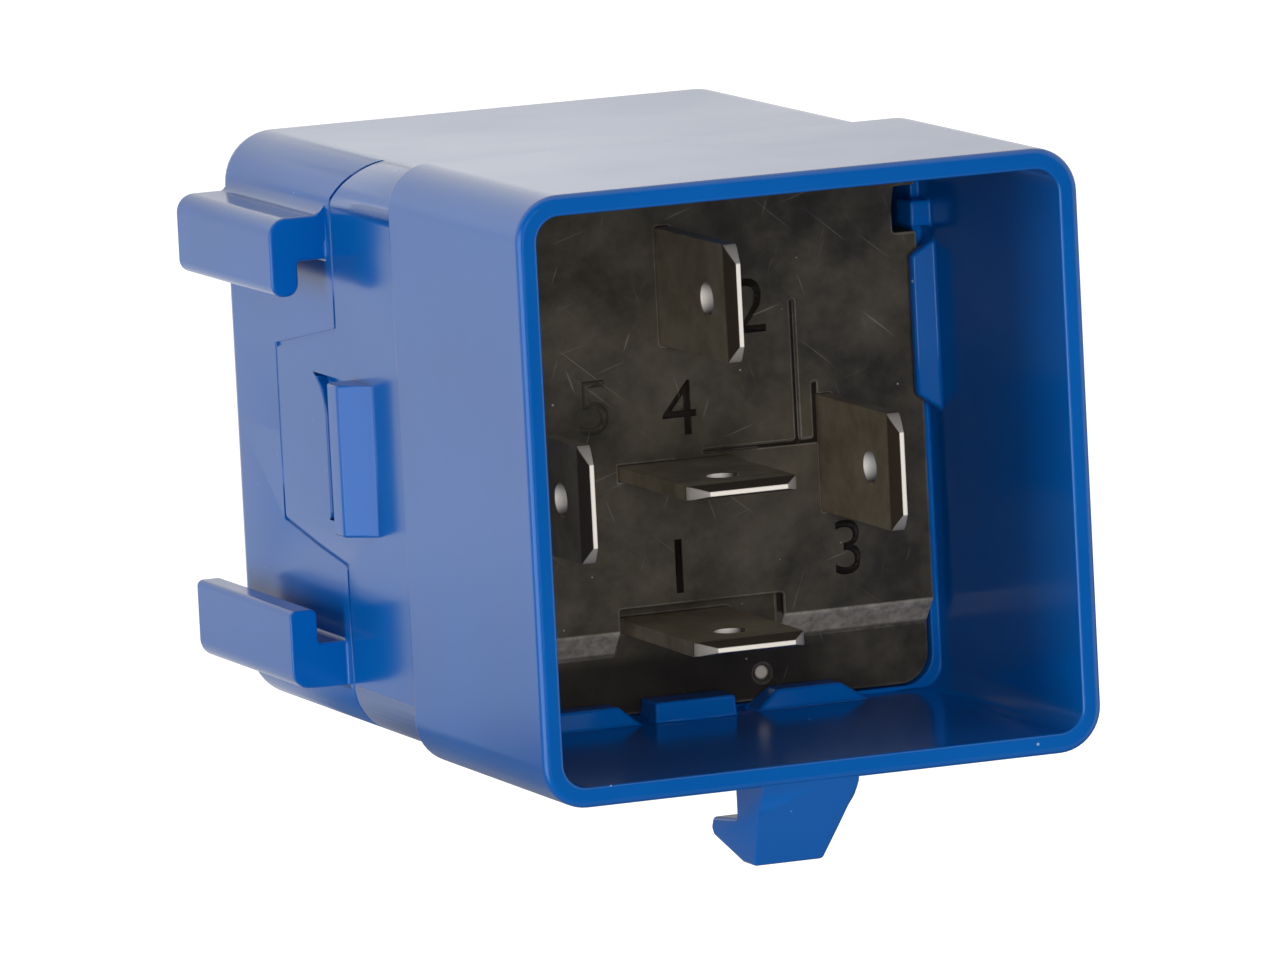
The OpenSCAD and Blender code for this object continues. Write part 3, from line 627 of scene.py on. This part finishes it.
class RELAY_OT_base(bpy.types.Operator):
    """Rounds the base's edges, sinks its numbers and gives it its black polyester"""

    bl_idname = "relay.base"
    bl_label = "Base"

    def execute(self, context):
        plate = merged_copy("base", "base_moulding", BASE_CUTS)
        paint(plate, black_polyester("black_glass_filled_polyester", 0.0),
              black_polyester("rubbed_black_polyester", 0.35))
        round_edges(plate, sizes().base_edge)
        self.sink(plate, self.numbers())
        seat(plate, "base")
        return {"FINISHED"}

    def numbers(self):
        """Makes one solid of the five terminal numbers, set through the base's face."""
        digits = []
        for digit, (x, y, part) in NUMBERS.items():
            bpy.ops.object.text_add()
            text = bpy.context.active_object
            text.data.body = digit
            text.data.size = sizes().number_height / DIGIT_HEIGHT
            text.data.align_x = "CENTER"
            text.data.align_y = "CENTER"
            text.data.extrude = part * sizes().number_depth
            text.data.resolution_u = 4
            bpy.ops.object.convert(target="MESH")
            text = bpy.context.active_object
            text.location = (x * MM, y * MM, BASE_FACE_Z)
            bpy.ops.object.transform_apply(location=True, rotation=True, scale=True)
            digits.append(text)
        bpy.ops.object.select_all(action="DESELECT")
        for text in digits:
            text.select_set(True)
        bpy.context.view_layer.objects.active = digits[0]
        bpy.ops.object.join()
        mesh = bmesh.new()
        mesh.from_mesh(digits[0].data)
        bmesh.ops.remove_doubles(mesh, verts=mesh.verts, dist=NEAR * MM)
        bmesh.ops.recalc_face_normals(mesh, faces=mesh.faces)
        mesh.to_mesh(digits[0].data)
        mesh.free()
        return digits[0]

    def sink(self, plate, numbers):
        """Cuts the numbers out of the plate and takes their solid away."""
        cut = plate.modifiers.new("Numbers", "BOOLEAN")
        cut.operation = "DIFFERENCE"
        cut.solver = "MANIFOLD"
        cut.object = numbers
        apply_modifiers(plate)
        bpy.data.objects.remove(numbers)
        shade(plate)


class RELAY_OT_blades(bpy.types.Operator):
    """Softens the stamped edges of the five terminals and plates them with tin"""

    bl_idname = "relay.blades"
    bl_label = "Blades"

    def execute(self, context):
        tin = tin_plate()
        for node in ("common_terminal", "left_coil_terminal", "right_coil_terminal",
                     "normally_closed_terminal", "normally_open_terminal"):
            blade = merged_copy(node, node + "_strip")
            self.thin_tip(blade)
            paint(blade, tin)
            round_edges(blade, sizes().blade_edge)
            seat(blade, node)
        return {"FINISHED"}

    def thin_tip(self, blade):
        """Slants both flats of a blade towards its end, as a lead-in for its socket."""
        length, depth = sizes().tip_length, sizes().tip_depth
        mesh = bmesh.new()
        mesh.from_mesh(blade.data)
        top = max(vert.co.z for vert in mesh.verts)
        bmesh.ops.bisect_plane(mesh, geom=[*mesh.verts, *mesh.edges, *mesh.faces],
                               plane_co=(0, 0, top - length), plane_no=(0, 0, 1))
        end = [vert.co for vert in mesh.verts if vert.co.z > top - NEAR * MM]
        spans = [(min(co[axis] for co in end), max(co[axis] for co in end)) for axis in (0, 1)]
        axis = min((0, 1), key=lambda i: spans[i][1] - spans[i][0])
        middle = sum(spans[axis]) / 2
        for vert in mesh.verts:
            share = (vert.co.z - top + length) / length
            if share > 0:
                vert.co[axis] -= math.copysign(depth * share, vert.co[axis] - middle)
        mesh.to_mesh(blade.data)
        mesh.free()


class RELAY_OT_mechanism(bpy.types.Operator):
    """Gives the pieces inside the cover their finishes"""

    bl_idname = "relay.mechanism"
    bl_label = "Mechanism"

    def execute(self, context):
        iron = plain("zinc_plated_soft_iron", "#B9BBBC", 1.0, 0.35)
        nylon = plain("moulded_natural_nylon", "#D9D2BE", 0.0, 0.45)
        copper = plain("enamelled_copper_wire", "#B8672E", 1.0, 0.3)
        bronze = plain("rolled_phosphor_bronze", "#C79A62", 1.0, 0.3)
        silver = plain("silver_contact_alloy", "#D8D8D4", 1.0, 0.25)
        braid = plain("bare_copper_braid", "#B87345", 1.0, 0.5)
        lacquer = plain("lacquered_ceramic", "#C9B48A", 0.0, 0.35)
        finishes = {
            iron: ("yoke", "core", "armature", "resistor_leads"),
            nylon: ("bobbin",),
            copper: ("coil_winding", "left_coil_lead", "right_coil_lead"),
            bronze: ("contact_spring", "spring_rivets", "return_spring"),
            silver: ("moving_contact", "return_spring_rivets", "normally_open_contact",
                     "normally_closed_contact"),
            braid: ("braid",),
            lacquer: ("resistor",),
        }
        for material, nodes in finishes.items():
            for node in nodes:
                paint(NODES[node], material)
        return {"FINISHED"}


class RELAY_OT_stage(bpy.types.Operator):
    """Sets the floor, the soft light and the camera"""

    bl_idname = "relay.stage"
    bl_label = "Stage"

    def execute(self, context):
        back = self.camera(context)
        self.floor()
        self.world(context, back)
        self.lamps(context)
        context.scene.view_settings.view_transform = "Standard"
        return {"FINISHED"}

    def camera(self, context):
        """Puts the camera in front of the skirt, turned to the rails, and returns the way back to it."""
        view = stage()
        back = Vector((-math.sin(view.azimuth) * math.cos(view.elevation), math.sin(view.elevation),
                       math.cos(view.azimuth) * math.cos(view.elevation)))
        right = (-back).cross(Vector((0, 1, 0))).normalized()
        up = right.cross(-back)
        roll = Matrix.Rotation(view.roll, 3, back)
        turn = Matrix((roll @ right, roll @ up, back)).transposed().to_4x4()
        data = bpy.data.cameras.new("camera")
        data.lens = view.lens
        data.sensor_width = 36
        data.clip_start = 0.01
        data.clip_end = 20
        camera = bpy.data.objects.new("camera", data)
        camera.matrix_world = Matrix.Translation(Vector(view.aim) + back * view.distance) @ turn
        context.scene.collection.objects.link(camera)
        context.scene.camera = camera
        return back

    def floor(self):
        """Lays a pale floor just under the cover, white to the camera and dimmer by place in reflections."""
        bpy.ops.object.select_all(action="DESELECT")
        bpy.ops.mesh.primitive_plane_add(size=4, location=(0, 0, -0.02 * MM))
        floor = bpy.context.active_object
        floor.name = "floor"
        material, tree, place = new_material("pale_floor")
        paths = add_node(tree, "ShaderNodeLightPath").outputs
        seen = combined(tree, "MAXIMUM", paths["Is Camera Ray"], paths["Is Glossy Ray"],
                        paths["Is Transmission Ray"])
        spot = add_node(tree, "ShaderNodeSeparateXYZ", {0: place}).outputs
        for axis, start, end, change in FLOOR_FADES:
            fade = region(tree, (spot[axis], start * MM, end * MM))
            fade = combined(tree, "MULTIPLY", fade, change, paths["Is Glossy Ray"])
            seen = combined(tree, "ADD", seen, fade)
        glow = add_node(tree, "ShaderNodeEmission", {"Strength": seen}, Color=(1.0, 1.0, 1.0, 1.0))
        matte = add_node(tree, "ShaderNodeBsdfDiffuse", Color=(0.25, 0.25, 0.25, 1.0))
        both = add_node(tree, "ShaderNodeAddShader", {0: glow, 1: matte})
        add_node(tree, "ShaderNodeOutputMaterial", {"Surface": both})
        paint(floor, material)

    def world(self, context, back):
        """Lights evenly from all sides and is white to the camera and through glass.

        Reflections show it dim towards the camera and below, with a bright patch on the rails' side.
        """
        world = bpy.data.worlds.new("studio")
        context.scene.world = world
        world.use_nodes = True
        tree = world.node_tree
        tree.nodes.clear()
        way = add_node(tree, "ShaderNodeTexCoord").outputs["Generated"]
        # the cosines of the angles to the camera's direction and to the patch set the level
        facing = add_node(tree, "ShaderNodeVectorMath", {0: way, 1: back}, operation="DOT_PRODUCT")
        before = add_node(tree, "ShaderNodeMapRange", {0: facing.outputs["Value"]},
                          From_Min=0.3, From_Max=0.66, To_Min=1.0, To_Max=0.02)
        rise = add_node(tree, "ShaderNodeSeparateXYZ", {0: way}).outputs[1]
        under = add_node(tree, "ShaderNodeMapRange", {0: rise},
                         From_Min=-0.25, From_Max=-0.65, To_Min=1.0, To_Max=0.25)
        beside = add_node(tree, "ShaderNodeVectorMath", {0: way, 1: PATCH.normalized()},
                          operation="DOT_PRODUCT")
        patch = add_node(tree, "ShaderNodeMapRange", {0: beside.outputs["Value"]},
                         From_Min=0.88, From_Max=0.95, To_Max=2.2)
        gloss = combined(tree, "ADD", combined(tree, "MULTIPLY", before, under), patch)
        paths = add_node(tree, "ShaderNodeLightPath").outputs
        level = add_node(tree, "ShaderNodeMix",
                         {"Factor": paths["Is Glossy Ray"], "A": stage().surround, "B": gloss})
        clear = combined(tree, "MAXIMUM", paths["Is Camera Ray"], paths["Is Transmission Ray"])
        total = add_node(tree, "ShaderNodeMix", {"Factor": clear, "A": level, "B": 1.0})
        light = add_node(tree, "ShaderNodeBackground", {"Strength": total}, Color=(1.0, 1.0, 1.0, 1.0))
        add_node(tree, "ShaderNodeOutputWorld", {"Surface": light})

    def lamps(self, context):
        """Hangs a broad lamp before the open end and one beside the rails, clear of the skirt's inside."""
        for name, way, power in (("front", FRONT_LAMP, stage().front), ("side", SIDE_LAMP, stage().side)):
            turn = way.to_track_quat("Z", "Y").to_matrix().to_4x4()
            data = bpy.data.lights.new(name, "AREA")
            data.shape = "SQUARE"
            data.size = LAMP_SIZE
            data.energy = power
            lamp = bpy.data.objects.new(name, data)
            lamp.matrix_world = Matrix.Translation(LAMP_AIM + way.normalized() * LAMP_DISTANCE) @ turn
            lamp.visible_glossy = False
            context.scene.collection.objects.link(lamp)


class RELAY_PT_sidebar(bpy.types.Panel):
    """Lists the relay's steps and settings"""

    bl_label = "Relay"
    bl_idname = "RELAY_PT_sidebar"
    bl_space_type = "VIEW_3D"
    bl_region_type = "UI"
    bl_category = "Relay"

    def draw(self, context):
        for step in STEPS:
            self.layout.operator(step.bl_idname)
        for group in (colours(), sizes(), stage()):
            box = self.layout.box()
            for name in group.__annotations__:
                box.prop(group, name)


GROUPS = {"relay_colours": RelayColours, "relay_sizes": RelaySizes, "relay_stage": RelayStage}
STEPS = (RELAY_OT_housing, RELAY_OT_base, RELAY_OT_blades, RELAY_OT_mechanism, RELAY_OT_stage)


def register():
    for cls in (*GROUPS.values(), *STEPS, RELAY_PT_sidebar):
        bpy.utils.register_class(cls)
    for name, group in GROUPS.items():
        setattr(bpy.types.Scene, name, bpy.props.PointerProperty(type=group))


def unregister():
    for name in GROUPS:
        delattr(bpy.types.Scene, name)
    for cls in (RELAY_PT_sidebar, *STEPS, *GROUPS.values()):
        bpy.utils.unregister_class(cls)


def main():
    register()
    bpy.ops.relay.housing()
    bpy.ops.relay.base()
    bpy.ops.relay.blades()
    bpy.ops.relay.mechanism()
    bpy.ops.relay.stage()


if __name__ == "__main__":
    main()
